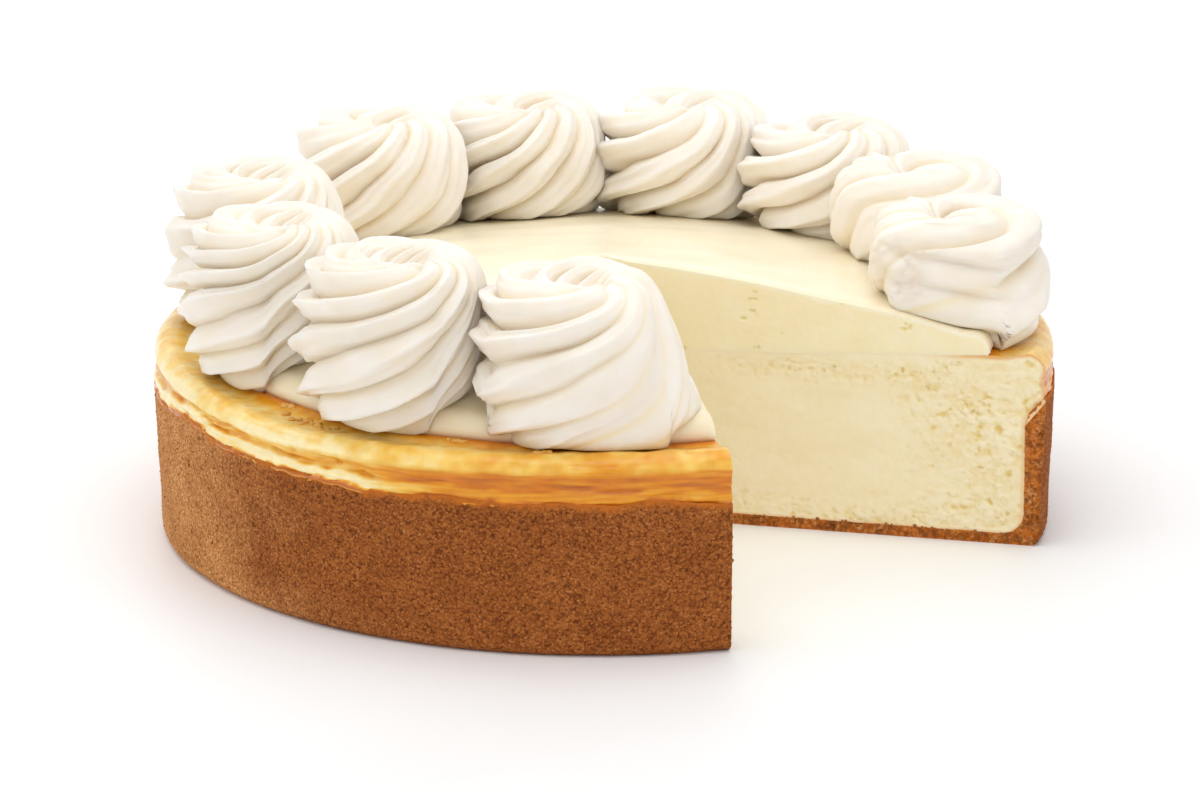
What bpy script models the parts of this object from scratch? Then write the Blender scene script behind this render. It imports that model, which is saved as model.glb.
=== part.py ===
"""A round banana cream cheesecake with two of its twelve slices taken out.

Four kinds of piece, each a solid of its own: the crumb crust (base and side
wall), the baked cheesecake in it, the domed banana cream on top, and ten piped
rosettes of whipped cream round the rim.  Metres, +Z up, the origin at the
centre of the flat underside, the front of the cake towards -Y.
"""

import math

import bmesh
import bpy
from mathutils import Vector

MM = 0.001

# ---- the cake as a whole ---------------------------------------------------
FACETS = 48  # sides of every turned piece
GAP = 0.3  # between neighbouring pieces
CUT_FROM, CUT_TO = 15.5, 75.5  # the missing wedge, degrees from -Y towards +X

# ---- crumb crust -------------------------------------------------------------
CRUST_BASE = 3.3  # thickness of the base
CRUST_TOP = 44.4  # height of the side wall at its outer edge
CRUST_FOOT_R = 124.0  # radius of the flat underside
CRUST_FOOT_ROUND = 3.4
CRUST_R_LOW, CRUST_R_TOP = 127.2, 128.6  # the wall leans out a little
WALL_INNER_R = 122.4
WALL_FILLET = 6.0  # inside, where the wall meets the base
WALL_TAPER = 9.0  # height over which the wall thins to its outer edge

# ---- cheesecake ----------------------------------------------------------------
CAKE_MID_TOP = 50.6  # top under the middle of the cream
CAKE_LEDGE_TOP = 55.6  # top where the cream ends
CAKE_RIM_TOP = 57.4  # highest line of the shoulder
CAKE_RIM_R = 122.5  # where that line runs
CAKE_R = 129.0  # outside above the crust
SHOULDER = 6.0  # radius of the rounded shoulder

# ---- banana cream -----------------------------------------------------------
CREAM_TOP = 77.0
CREAM_EDGE_R = 112.4  # where it runs out on the ledge
CREAM_SHOULDER_R = 104.5
CREAM_SHOULDER_TOP = 62.8
CREAM_FALL = 1.6  # power of the fall from the middle to its shoulder

# ---- whipped cream rosettes -------------------------------------------------
RIDGE_DEPTH = 7.2
BOWL = 8.5  # dip of the swirl at the top
TUBE_SHARE = 0.58  # half width of the piped rope over the rosette's radius
FOOT_PSI, EYE_PSI = -80.0, 172.0  # the rope's section, from its foot to the eye
FOOT_POWER, SIDE_POWER, RISE_POWER = 0.80, 0.60, 0.84  # how square the section is
ROWS = 10
TURN_LOW, TURN_HIGH = 0.50, 0.30  # pace of a ridge round the left, at foot and top
RIDGE_PITCH = 11.0  # spacing at which a ridge keeps most of its depth
ROUND_RIDGE = 1.7  # from this roundness a ridge has a flat back of its own
SHOULDER_SHARE = 0.22  # where that back ends, as a share of the ridge's width

# azimuth (degrees from -Y towards +X), distance of the middle from the axis,
# radius, top height, lean of the eye (x, y), heading of the steep side
# (degrees), relief of the ridges, skirt left beside the cut, its direction
# (degrees), number of ridges, quickness of their turn, roundness of a ridge
ROSETTES = (
    (-5.0, 99.5, 28.8, 100.5, 4.0, 1.0, -4.0, 1.0, 1.0, 2.0, 10, 1.0, 1.5),
    (-35.0, 101.0, 27.8, 102.0, 4.0, 1.0, 0.0, 1.0, 0.0, 0.0, 13, 0.95, 1.4),
    (-66.0, 101.5, 26.6, 101.0, 4.0, 2.0, -8.0, 0.95, 0.0, 0.0, 13, 0.95, 1.4),
    (-97.0, 101.0, 26.4, 100.2, 4.0, 2.0, 0.0, 0.9, 0.0, 0.0, 12, 1.0, 1.5),
    (-139.0, 101.0, 27.4, 99.6, 4.0, 0.0, -62.0, 1.1, 0.0, 0.0, 7, 1.6, 1.9),
    (-164.9, 101.0, 28.4, 98.2, 4.0, 0.0, -54.0, 1.15, 0.0, 0.0, 7, 1.5, 1.9),
    (166.0, 101.0, 28.4, 98.6, 4.0, 0.0, -44.0, 1.15, 0.0, 0.0, 7, 1.35, 1.9),
    (139.8, 101.0, 26.8, 96.0, 4.0, 0.0, -36.0, 1.2, 0.0, 0.0, 7, 1.3, 2.0),
    (114.0, 101.0, 26.6, 93.6, -2.0, 0.0, 170.0, 1.0, 0.0, 0.0, 6, 0.9, 1.8),
    (87.5, 101.0, 26.8, 92.8, -3.0, 0.0, 172.0, 1.0, 0.7, -104.0, 6, 0.9, 1.8),
)
RIM_LIMIT = 128.2  # no swirl stands further out than this


# ---- profiles, as (radius, height) in millimetres ----------------------------
def cake_top(r):
    """Top of the cheesecake: sunk in the middle, rising to the shoulder."""
    if r <= CREAM_EDGE_R:
        return CAKE_MID_TOP + (CAKE_LEDGE_TOP - CAKE_MID_TOP) * (r / CREAM_EDGE_R) ** 1.6
    t = (r - CREAM_EDGE_R) / (CAKE_RIM_R - CREAM_EDGE_R)
    return CAKE_LEDGE_TOP + (CAKE_RIM_TOP - CAKE_LEDGE_TOP) * min(t, 1.0)


def cream_top(r):
    """Top of the cream: a low dome with a round edge."""
    if r <= CREAM_SHOULDER_R:
        fall = (r / CREAM_SHOULDER_R) ** CREAM_FALL
        return CREAM_TOP - (CREAM_TOP - CREAM_SHOULDER_TOP) * fall
    t = min((r - CREAM_SHOULDER_R) / (CREAM_EDGE_R - CREAM_SHOULDER_R), 1.0)
    low = cake_top(CREAM_EDGE_R) + 0.5
    return low + (CREAM_SHOULDER_TOP - low) * math.sqrt(max(0.0, 1 - t * t))


def arc(cx, cz, radius, start, end, steps):
    """Points on an arc, angles in degrees."""
    points = []
    for i in range(steps + 1):
        a = math.radians(start + (end - start) * i / steps)
        points.append((cx + radius * math.cos(a), cz + radius * math.sin(a)))
    return points


def crust_inside(out=0.0):
    """Inner face of the crust from the axis to the outer edge of its top, moved
    inwards by out."""
    fillet = arc(
        WALL_INNER_R - WALL_FILLET, CRUST_BASE + WALL_FILLET,
        WALL_FILLET - out, -90, 0, 3,
    )
    low = CRUST_TOP - WALL_TAPER
    taper = []
    for i in range(4):
        t = i / 3
        r = WALL_INNER_R + (CRUST_R_TOP - WALL_INNER_R) * t ** 1.5
        taper.append((r - out, low + WALL_TAPER * t ** 0.8 + out * 1.2 * t))
    taper[-1] = (CRUST_R_TOP, CRUST_TOP + 1.25 * out)
    return [(0.0, CRUST_BASE + out)] + fillet + taper


def crust_profile():
    outer = [(CRUST_R_TOP - 0.5, 28.0), (CRUST_R_LOW, 12.0)]
    foot = arc(
        CRUST_FOOT_R, CRUST_FOOT_ROUND, CRUST_FOOT_ROUND, -18, -90, 2
    )
    return crust_inside() + outer + foot + [(0.0, 0.0)]


def cake_profile():
    top = [(0.0, cake_top(0.0) - GAP)]
    top += [(r, cake_top(r) - GAP) for r in (30.0, 60.0, 86.0, CREAM_EDGE_R - 1.0)]
    top += [(CREAM_EDGE_R + 1.2, cake_top(CREAM_EDGE_R)), (CAKE_RIM_R - 2.0, CAKE_RIM_TOP - 0.2)]
    top += arc(CAKE_R - SHOULDER, CAKE_RIM_TOP - SHOULDER, SHOULDER, 88, 0, 4)
    return top + list(reversed(crust_inside(GAP)))


def cream_profile():
    radii = (0.0, 22.0, 42.0, 60.0, 76.0, 91.0, CREAM_SHOULDER_R)
    top = [(r, cream_top(r)) for r in radii]
    top += [(r, cream_top(r)) for r in (108.6, 111.2, CREAM_EDGE_R)]
    under = [(r, cake_top(r)) for r in (CREAM_EDGE_R - 1.0, 86.0, 60.0, 30.0, 0.0)]
    return top + under


def seat_profile():
    """What the rosettes stand on, raised by the gap, down to a flat underside."""
    radii = (0.0, 60.0, 76.0, 91.0, CREAM_SHOULDER_R)
    top = [(r, cream_top(r) + GAP) for r in radii]
    top += [(r, cream_top(r) + GAP) for r in (108.6, 111.2)]
    top += [(CREAM_EDGE_R + GAP, cake_top(CREAM_EDGE_R) + 0.5 + GAP)]
    top += [(CREAM_EDGE_R + 1.6, cake_top(CREAM_EDGE_R) + GAP)]
    top += [(CAKE_RIM_R - 2.0, CAKE_RIM_TOP - 0.2 + GAP)]
    top += arc(CAKE_R - SHOULDER, CAKE_RIM_TOP - SHOULDER, SHOULDER + GAP, 88, 0, 4)
    return top + [(CAKE_R + GAP, 40.0), (0.0, 40.0)]


# ---- helpers ---------------------------------------------------------------
def clear_scene():
    for obj in list(bpy.data.objects):
        bpy.data.objects.remove(obj, do_unlink=True)


def make_collection(name):
    col = bpy.data.collections.new(name)
    bpy.context.scene.collection.children.link(col)
    return col


def make_material(name, colour, roughness, metallic=0.0):
    mat = bpy.data.materials.new(name)
    mat.use_nodes = True
    bsdf = mat.node_tree.nodes["Principled BSDF"]
    bsdf.inputs["Base Color"].default_value = (*colour, 1.0)
    bsdf.inputs["Roughness"].default_value = roughness
    bsdf.inputs["Metallic"].default_value = metallic
    return mat


def turned(name, profile, collection, material=None):
    """A profile turned round Z: the points run from the axis, down the outside
    and back to the axis."""
    mesh = bpy.data.meshes.new(name)
    points = [(r * MM, 0.0, z * MM) for r, z in profile]
    mesh.from_pydata(points, [(i, i + 1) for i in range(len(points) - 1)], [])
    obj = bpy.data.objects.new(name, mesh)
    collection.objects.link(obj)
    screw = obj.modifiers.new("turn", "SCREW")
    screw.axis = "Z"
    screw.angle = 2 * math.pi
    screw.steps = screw.render_steps = FACETS
    screw.use_merge_vertices = True
    screw.merge_threshold = 0.00001
    screw.use_normal_calculate = True
    if material:
        mesh.materials.append(material)
    return obj


def baked(obj):
    """Swap an object's modifiers for the mesh they make."""
    graph = bpy.context.evaluated_depsgraph_get()
    mesh = bpy.data.meshes.new_from_object(obj.evaluated_get(graph))
    obj.modifiers.clear()
    obj.data = mesh
    bm = bmesh.new()
    bm.from_mesh(mesh)
    bmesh.ops.remove_doubles(bm, verts=bm.verts, dist=0.00001)
    bmesh.ops.recalc_face_normals(bm, faces=bm.faces)
    bm.to_mesh(mesh)
    bm.free()
    return obj


def wedge(name, collection):
    """The missing slices as a prism, its point just off the axis."""
    tip = 0.25 * MM
    reach = 190 * MM
    mid = math.radians((CUT_FROM + CUT_TO) / 2)
    foot = Vector((math.sin(mid), -math.cos(mid), 0.0)) * tip
    sides = [
        foot + Vector((math.sin(math.radians(a)), -math.cos(math.radians(a)), 0.0)) * reach
        for a in (CUT_FROM, (CUT_FROM + CUT_TO) / 2, CUT_TO)
    ]
    bm = bmesh.new()
    low = [bm.verts.new(p + Vector((0, 0, -0.02))) for p in [foot, *sides]]
    face = bm.faces.new(low)
    lifted = bmesh.ops.extrude_face_region(bm, geom=[face])
    top = [v for v in lifted["geom"] if isinstance(v, bmesh.types.BMVert)]
    bmesh.ops.translate(bm, verts=top, vec=(0, 0, 0.16))
    bmesh.ops.recalc_face_normals(bm, faces=bm.faces)
    mesh = bpy.data.meshes.new(name)
    bm.to_mesh(mesh)
    bm.free()
    obj = bpy.data.objects.new(name, mesh)
    collection.objects.link(obj)
    obj.hide_render = True
    obj.display_type = "WIRE"
    return obj


def cut(obj, cutter, label):
    mod = obj.modifiers.new(label, "BOOLEAN")
    mod.operation = "DIFFERENCE"
    mod.solver = "EXACT"
    mod.object = cutter
    return mod


# ---- rosettes ----------------------------------------------------------------
def smooth(low, high, x):
    t = min(1.0, max(0.0, (x - low) / (high - low)))
    return t * t * (3 - 2 * t)


def power(value, exponent):
    return math.copysign(abs(value) ** exponent, value)


def middle(spec):
    a = math.radians(spec[0])
    return spec[1] * math.sin(a), -spec[1] * math.cos(a)


def pressed(distance, limit, soft):
    """A distance that never passes its limit: the last stretch is squeezed."""
    start = limit - soft
    if distance <= start:
        return distance
    return limit - soft * math.exp(-(distance - start) / soft)


def warped(tau, at, pace):
    """Where a ridge stands after turning by tau: slow opposite the heading,
    quick near it.  Also how fast tau runs there."""
    x = math.remainder(tau - at, 2 * math.pi)
    y = 2 * math.atan2(pace * math.sin(x / 2), math.cos(x / 2))
    c, s = math.cos(x / 2) ** 2, math.sin(x / 2) ** 2
    return at + y, (c + pace * pace * s) / pace


def swirl_point(spec, beta, psi, crest):
    """A point of the piped rope.

    beta is the tooth of the nozzle that drew it, psi the angle round the rope's
    section: below 0 under the bulge, 90 on top, EYE_PSI in the eye of the
    swirl.  The nozzle keeps its heading while it circles, so a ridge climbs
    as it goes round.
    """
    radius, top, lean_x, lean_y, heading, relief, flap, flap_at, teeth, quick, roundness = spec[2:]
    cx, cy = middle(spec)
    degrees = math.degrees(psi)
    at = math.radians(heading)
    pace = (TURN_LOW + (TURN_HIGH - TURN_LOW) * smooth(-60, 40, degrees)) * quick
    around, rate = warped(beta + psi, at, pace)
    width = 2 * math.pi / teeth * radius / rate
    spread = width / math.hypot(width, RIDGE_PITCH)
    near = 0.5 + 0.5 * math.cos(around - at)
    spread *= (1 - 0.5 * near ** 3) * relief
    off = math.remainder(around - math.radians(flap_at), 2 * math.pi)
    side = flap * math.exp(-((off / 0.85) ** 2))
    off = math.remainder(around - math.radians(flap_at - 24.0), 2 * math.pi)
    calm = flap * math.exp(-((off / 1.1) ** 2)) * (1 - 0.6 * smooth(50, 110, degrees))
    spread *= 1 - 0.93 * calm

    tube = TUBE_SHARE * radius
    stand = radius * 0.8
    low = seat_height(cx + stand * math.cos(around), cy + stand * math.sin(around)) - 2.5
    half = (top - low) / 2
    if degrees <= 90:
        share = power(math.cos(psi), FOOT_POWER if degrees < 0 else SIDE_POWER + 0.36 * (roundness - 1.4))
        rho = radius - tube + tube * share
        z = low + half + half * power(math.sin(psi), RISE_POWER)
        depth = RIDGE_DEPTH * (0.35 + 0.65 * smooth(-80, -30, degrees))
        depth *= 1 - 0.55 * smooth(35, 90, degrees)
        nx, nz = math.cos(psi), math.sin(psi)
    else:
        t = (degrees - 90) / (EYE_PSI - 90)
        rho = (radius - tube) * (1 - 0.95 * t)
        back = 0.5 - 0.5 * math.cos(around - math.radians(100.0))
        z = top - BOWL * smooth(0, 1, t) * (0.6 + 0.4 * back)
        depth = RIDGE_DEPTH * 0.45 * (1 - 0.5 * t)
        nx, nz = -0.35 * math.sin(math.pi * t), 0.94
    depth *= spread * (1 - crest)
    skirt = 0.34 * (1 - smooth(57, 90, z)) - 0.10 * smooth(80, 100, z)
    rho = rho * (1 + side * skirt) + side * 10 * (1 - smooth(-80, -20, degrees))
    rho = max(0.5, rho - depth * nx)
    z -= depth * nz

    inward = smooth(40, EYE_PSI, degrees)
    x = cx + rho * math.cos(around) + lean_x * inward
    y = cy + rho * math.sin(around) + lean_y * inward
    limits = []
    for other in ROSETTES:
        if other is spec:
            continue
        ox, oy = middle(other)
        gap = math.hypot(ox - cx, oy - cy)
        if gap > 70:
            continue
        share = gap * radius / (radius + other[2]) - GAP
        limits.append(((ox - cx) / gap, (oy - cy) / gap, cx, cy, share, 3.0))
    if flap and cx < 50:
        a = math.radians(CUT_FROM)
        limits.append((math.cos(a), math.sin(a), 0.0, 0.0, -0.2, 1.2))
    elif flap:
        a = math.radians(CUT_TO)
        limits.append((-math.cos(a), -math.sin(a), 0.0, 0.0, -0.2, 1.2))
    for ux, uy, from_x, from_y, limit, soft in limits:
        along = (x - from_x) * ux + (y - from_y) * uy
        moved = pressed(along, limit, soft)
        x += (moved - along) * ux
        y += (moved - along) * uy
    out = math.hypot(x, y)
    held = pressed(out, RIM_LIMIT, 2.5)
    return x * held / out, y * held / out, z


def seat_height(x, y):
    r = math.hypot(x, y)
    return cream_top(r) if r < CREAM_EDGE_R else cake_top(r)


def ridge_columns(teeth, roundness):
    """(share of the circle, crest) of each column: crest and valley for a sharp
    ridge, two shoulders and a valley for a round one."""
    shape = ((0.0, 1.0), (0.5, 0.0))
    if roundness > ROUND_RIDGE:
        back = 1 - (2 * SHOULDER_SHARE) ** roundness
        shape = ((SHOULDER_SHARE, back), (0.5, 0.0), (1 - SHOULDER_SHARE, back))
    return [((k + u) / teeth, crest) for k in range(teeth) for u, crest in shape]


def rosette(name, spec, collection, material, seat):
    """A loft over the rope's section, closed by a cap under the foot and one in
    the eye."""
    bm = bmesh.new()
    lines = ridge_columns(spec[10], spec[12])
    columns = len(lines)
    grid = []
    for i in range(ROWS):
        psi = math.radians(FOOT_PSI + (EYE_PSI - FOOT_PSI) * i / (ROWS - 1))
        row = []
        for share, crest in lines:
            x, y, z = swirl_point(spec, 2 * math.pi * share, psi, crest)
            row.append(bm.verts.new((x * MM, y * MM, z * MM)))
        grid.append(row)
    for i in range(ROWS - 1):
        for j in range(columns):
            k = (j + 1) % columns
            bm.faces.new((grid[i][j], grid[i][k], grid[i + 1][k], grid[i + 1][j]))
    for row, flip in ((grid[0], True), (grid[-1], False)):
        centre = sum((v.co for v in row), Vector()) / columns
        hub = bm.verts.new(centre)
        for j in range(columns):
            k = (j + 1) % columns
            bm.faces.new((row[k], row[j], hub) if flip else (row[j], row[k], hub))
    bmesh.ops.recalc_face_normals(bm, faces=bm.faces)
    bmesh.ops.triangulate(bm, faces=bm.faces)
    mesh = bpy.data.meshes.new(name)
    bm.to_mesh(mesh)
    bm.free()
    mesh.shade_smooth()
    mesh.materials.append(material)
    obj = bpy.data.objects.new(name, mesh)
    collection.objects.link(obj)
    cut(obj, seat, "seat")
    return obj


# ---- the model ---------------------------------------------------------------
def main():
    clear_scene()
    parts = make_collection("banana_cream_cheesecake")
    cutters = make_collection("cutters")

    crumb = make_material("crumb", (0.42, 0.16, 0.045), 0.85)
    baked_filling = make_material("baked_filling", (0.90, 0.76, 0.42), 0.5)
    banana = make_material("banana_cream", (0.94, 0.86, 0.60), 0.4)
    whipped = make_material("whipped_cream", (0.95, 0.93, 0.87), 0.45)

    slices = wedge("missing_slices", cutters)
    seat = baked(turned("rosette_seat", seat_profile(), cutters))
    seat.hide_render = True
    seat.display_type = "WIRE"

    for name, profile, material in (
        ("crumb_crust", crust_profile(), crumb),
        ("cheesecake", cake_profile(), baked_filling),
        ("banana_cream", cream_profile(), banana),
    ):
        obj = baked(turned(name, profile, parts, material))
        cut(obj, slices, "slices_out")

    for i, spec in enumerate(ROSETTES, start=1):
        obj = rosette(f"rosette_{i:02d}", spec, parts, whipped, seat)
        cut(obj, slices, "slices_out")


main()
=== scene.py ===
"""Looks of the banana cream cheesecake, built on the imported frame.

Every layer and rosette of the frame is replaced by a finely modelled piece in
the same place: a grainy crumb crust, the baked cheesecake with its wrinkled
golden rim and curdy cut faces, the domed banana cream, and ten piped rosettes.
Loose crumbs and small torn bits of cake are pieces of their own.
Sizes are in millimetres until a mesh is made.
"""

import math

import bpy
import numpy as np
from mathutils import Euler, Matrix, Vector
from mathutils.geometry import delaunay_2d_cdt


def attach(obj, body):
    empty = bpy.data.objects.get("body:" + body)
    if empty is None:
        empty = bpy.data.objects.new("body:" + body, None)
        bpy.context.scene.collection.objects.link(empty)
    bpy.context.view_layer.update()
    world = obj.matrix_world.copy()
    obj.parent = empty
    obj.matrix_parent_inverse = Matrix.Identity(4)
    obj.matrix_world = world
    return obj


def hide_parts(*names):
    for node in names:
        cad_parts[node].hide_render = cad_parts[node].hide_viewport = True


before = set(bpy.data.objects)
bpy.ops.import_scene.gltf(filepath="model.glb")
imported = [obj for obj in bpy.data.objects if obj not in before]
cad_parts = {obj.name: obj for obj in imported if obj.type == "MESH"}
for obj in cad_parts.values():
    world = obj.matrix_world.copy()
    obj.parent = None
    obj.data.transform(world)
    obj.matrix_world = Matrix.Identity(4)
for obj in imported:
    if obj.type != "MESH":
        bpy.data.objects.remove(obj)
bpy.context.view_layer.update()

MM = 0.001

# ---- shape, as in the frame ----------------------------------------------------
GAP = 0.3
CUT_FROM, CUT_TO = 15.5, 75.5
CRUST_BASE = 3.3
CRUST_TOP = 44.4
CRUST_FOOT_R = 124.0
CRUST_FOOT_ROUND = 3.4
CRUST_R_LOW, CRUST_R_TOP = 127.2, 128.6
WALL_INNER_R = 122.4
WALL_FILLET = 6.0
WALL_TAPER = 9.0
CAKE_MID_TOP = 50.6
CAKE_LEDGE_TOP = 55.6
CAKE_RIM_TOP = 57.4
CAKE_RIM_R = 122.5
CAKE_R = 129.0
SHOULDER = 6.0
CREAM_TOP = 77.0
CREAM_EDGE_R = 112.4
CREAM_SHOULDER_R = 104.5
CREAM_SHOULDER_TOP = 62.8
CREAM_FALL = 1.6

RIDGE_DEPTH = 7.2
BOWL = 8.5
TUBE_SHARE = 0.58
FOOT_PSI, EYE_PSI = -80.0, 172.0
FOOT_POWER, SIDE_POWER, RISE_POWER = 0.80, 0.60, 0.84
TURN_LOW, TURN_HIGH = 0.50, 0.30
RIDGE_PITCH = 11.0
# small sideways shifts in mm, by number in the table
NUDGED = {5: 1.3, 6: -1.3}
# azimuth, distance, radius, top, lean x, lean y, heading, relief, skirt,
# direction of the skirt, ridges, quickness of the turn, roundness of a ridge
ROSETTES = (
    (-5.0, 99.5, 28.8, 100.5, 4.0, 1.0, -4.0, 1.0, 1.0, 2.0, 10, 1.0, 1.5),
    (-35.0, 101.0, 27.8, 102.0, 4.0, 1.0, 0.0, 1.0, 0.0, 0.0, 13, 0.95, 1.4),
    (-66.0, 101.5, 26.6, 101.0, 4.0, 2.0, -8.0, 0.95, 0.0, 0.0, 13, 0.95, 1.4),
    (-97.0, 101.0, 26.4, 100.2, 4.0, 2.0, 0.0, 0.9, 0.0, 0.0, 12, 1.0, 1.5),
    (-139.0, 101.0, 27.4, 99.6, 4.0, 0.0, -62.0, 1.1, 0.0, 0.0, 7, 1.6, 1.9),
    (-164.9, 101.0, 28.4, 98.2, 4.0, 0.0, -54.0, 1.15, 0.0, 0.0, 7, 1.5, 1.9),
    (166.0, 101.0, 28.4, 98.6, 4.0, 0.0, -44.0, 1.15, 0.0, 0.0, 7, 1.35, 1.9),
    (139.8, 101.0, 26.8, 96.0, 4.0, 0.0, -36.0, 1.2, 0.0, 0.0, 7, 1.3, 2.0),
    (114.0, 101.0, 26.6, 93.6, -2.0, 0.0, 170.0, 1.0, 0.0, 0.0, 6, 0.9, 1.8),
    (87.5, 101.0, 26.8, 92.8, -3.0, 0.0, 172.0, 1.0, 0.7, -104.0, 6, 0.9, 1.8),
)
RIM_LIMIT = 128.2


# ---- small maths -----------------------------------------------------------------
def smooth(low, high, x):
    t = np.clip((x - low) / (high - low), 0.0, 1.0)
    return t * t * (3 - 2 * t)


def power(value, exponent):
    return np.sign(value) * np.abs(value) ** exponent


def hashed(ix, iy, iz, seed):
    """A number from 0 to 1 for each lattice point."""
    h = (
        ix.astype(np.uint64) * np.uint64(73856093)
        ^ iy.astype(np.uint64) * np.uint64(19349663)
        ^ iz.astype(np.uint64) * np.uint64(83492791)
        ^ np.uint64(seed * 2654435761 % (1 << 32))
    ) & np.uint64(0xFFFFFFFF)
    h = (h ^ (h >> np.uint64(15))) * np.uint64(2246822519) & np.uint64(0xFFFFFFFF)
    h = (h ^ (h >> np.uint64(13))) * np.uint64(3266489917) & np.uint64(0xFFFFFFFF)
    h = h ^ (h >> np.uint64(16))
    return h.astype(np.float64) / 4294967295.0


GRADIENTS = np.array(
    [(x, y, z) for x in (-1, 0, 1) for y in (-1, 0, 1) for z in (-1, 0, 1) if abs(x) + abs(y) + abs(z) == 2],
    float,
)


def noise(p, size, seed=0):
    """Smooth gradient noise, about -1 to 1, at points in millimetres."""
    q = p / np.asarray(size, float) + 1000.37
    i = np.floor(q)
    f = q - i
    g = f * f * f * (f * (f * 6 - 15) + 10)
    i = i.astype(np.int64)
    total = np.zeros(q.shape[:-1])
    for dx in (0, 1):
        for dy in (0, 1):
            for dz in (0, 1):
                w = (
                    (g[..., 0] if dx else 1 - g[..., 0])
                    * (g[..., 1] if dy else 1 - g[..., 1])
                    * (g[..., 2] if dz else 1 - g[..., 2])
                )
                pick = GRADIENTS[(hashed(i[..., 0] + dx, i[..., 1] + dy, i[..., 2] + dz, seed) * 11.999).astype(int)]
                slope = (
                    pick[..., 0] * (f[..., 0] - dx) + pick[..., 1] * (f[..., 1] - dy) + pick[..., 2] * (f[..., 2] - dz)
                )
                total += w * slope
    return np.clip(total * 1.4, -1, 1)


def layered(p, size, seed=0, octaves=3, fade=0.5):
    """Noise with finer and finer detail on it."""
    total, share, sum_share = 0.0, 1.0, 0.0
    for k in range(octaves):
        total = total + share * noise(p, np.asarray(size, float) / 2 ** k, seed + k)
        sum_share += share
        share *= fade
    return total / sum_share


def grains(p, size, seed=0):
    """Rounded grains packed side by side: 0 in the gaps, up to 1 on a grain."""
    q = p / float(size) + 500.0
    base = np.floor(q).astype(np.int64)
    near = np.full(q.shape[:-1], 9.0)
    tall = np.zeros(q.shape[:-1])
    for dx in (-1, 0, 1):
        for dy in (-1, 0, 1):
            for dz in (-1, 0, 1):
                c = base + np.array([dx, dy, dz])
                jx = hashed(c[..., 0], c[..., 1], c[..., 2], seed)
                jy = hashed(c[..., 0], c[..., 1], c[..., 2], seed + 1)
                jz = hashed(c[..., 0], c[..., 1], c[..., 2], seed + 2)
                d = (
                    (c[..., 0] + jx - q[..., 0]) ** 2
                    + (c[..., 1] + jy - q[..., 1]) ** 2
                    + (c[..., 2] + jz - q[..., 2]) ** 2
                )
                closer = d < near
                near = np.where(closer, d, near)
                tall = np.where(closer, jx, tall)
    return np.clip(1 - near * 1.6, 0, 1) ** 0.5 * (0.45 + 0.55 * tall)


def on_ring(azimuth, r, z):
    """Points from azimuth (degrees from -Y towards +X), radius and height."""
    a = np.radians(azimuth)
    return np.stack([r * np.sin(a), -r * np.cos(a), z + 0 * a], -1)


def along_line(x, points):
    """Straight-line reading of a table of (x, y)."""
    xs, ys = zip(*points)
    return np.interp(x, xs, ys)


# ---- meshes ----------------------------------------------------------------------
def grid_faces(rows, columns, start=0, closed=False, flip=False):
    i, j = np.meshgrid(
        np.arange(rows - 1), np.arange(columns if closed else columns - 1), indexing="ij"
    )
    k = (j + 1) % columns
    quads = np.stack(
        [i * columns + j, i * columns + k, (i + 1) * columns + k, (i + 1) * columns + j], -1
    ).reshape(-1, 4) + start
    return quads[:, ::-1] if flip else quads


def inner_edge(rows, columns):
    """Faces between the last and the first row, which both lie at the middle."""
    j = np.arange(columns - 1)
    last = (rows - 1) * columns
    return np.stack([j, j + 1, last + j + 1, last + j], -1)


def inside_of(points, outline):
    """Whether each (r, z) lies in the outline, and its distance from it."""
    a, b = outline, np.roll(outline, -1, axis=0)
    held = np.zeros(len(points), bool)
    near = np.full(len(points), 1e9)
    for (ax, ay), (bx, by) in zip(a, b):
        crosses = (ay > points[:, 1]) != (by > points[:, 1])
        if ay != by:
            held ^= crosses & (points[:, 0] < (bx - ax) * (points[:, 1] - ay) / (by - ay) + ax)
        ab = np.array([bx - ax, by - ay])
        t = np.clip(((points - (ax, ay)) @ ab) / max(ab @ ab, 1e-12), 0, 1)
        near = np.minimum(near, np.hypot(points[:, 0] - ax - t * ab[0], points[:, 1] - ay - t * ab[1]))
    return held, near


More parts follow.
